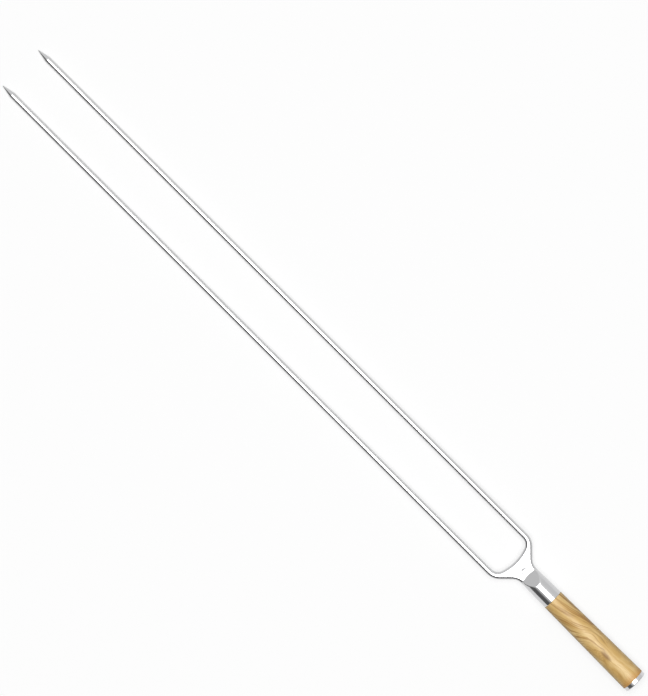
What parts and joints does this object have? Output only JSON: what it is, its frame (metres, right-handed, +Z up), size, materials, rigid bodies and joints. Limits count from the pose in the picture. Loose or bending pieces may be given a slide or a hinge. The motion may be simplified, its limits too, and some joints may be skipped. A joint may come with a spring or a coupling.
{
  "type": "churrasco skewer",
  "caption": "Two-pronged steel barbecue skewer with ground points, a flat yoke running into a round polished bolster, and a flared olive wood grip closed by a steel cap.",
  "frame": {"origin": "under the middle of the skewer's length, level with the lowest point of the end cap's rim", "axes": "+X from the grip to the points, +Y towards the left prong as seen from the grip, +Z up, square to the plane of the two prongs"},
  "size_m": [0.9, 0.059, 0.0262],
  "materials": {
    "prong_steel": "ground and lightly polished stainless bar",
    "head_steel": "forged stainless, satin web running into a polished bolster",
    "cap_steel": "mirror-polished stainless",
    "olive_wood": "sanded and oiled, with a flowing darker grain",
    "inner_steel": "plain turned steel",
    "resin": "cured clear epoxy"
  },
  "bodies": {
    "root": {"prong_left": "prong_steel", "prong_right": "prong_steel", "fork_head": "head_steel", "tang": "inner_steel", "handle_grip": "olive_wood", "tang_adhesive": "resin", "clamp_washer": "inner_steel", "tang_nut": "inner_steel", "end_cap": "cap_steel"}
  },
  "joints": []
}
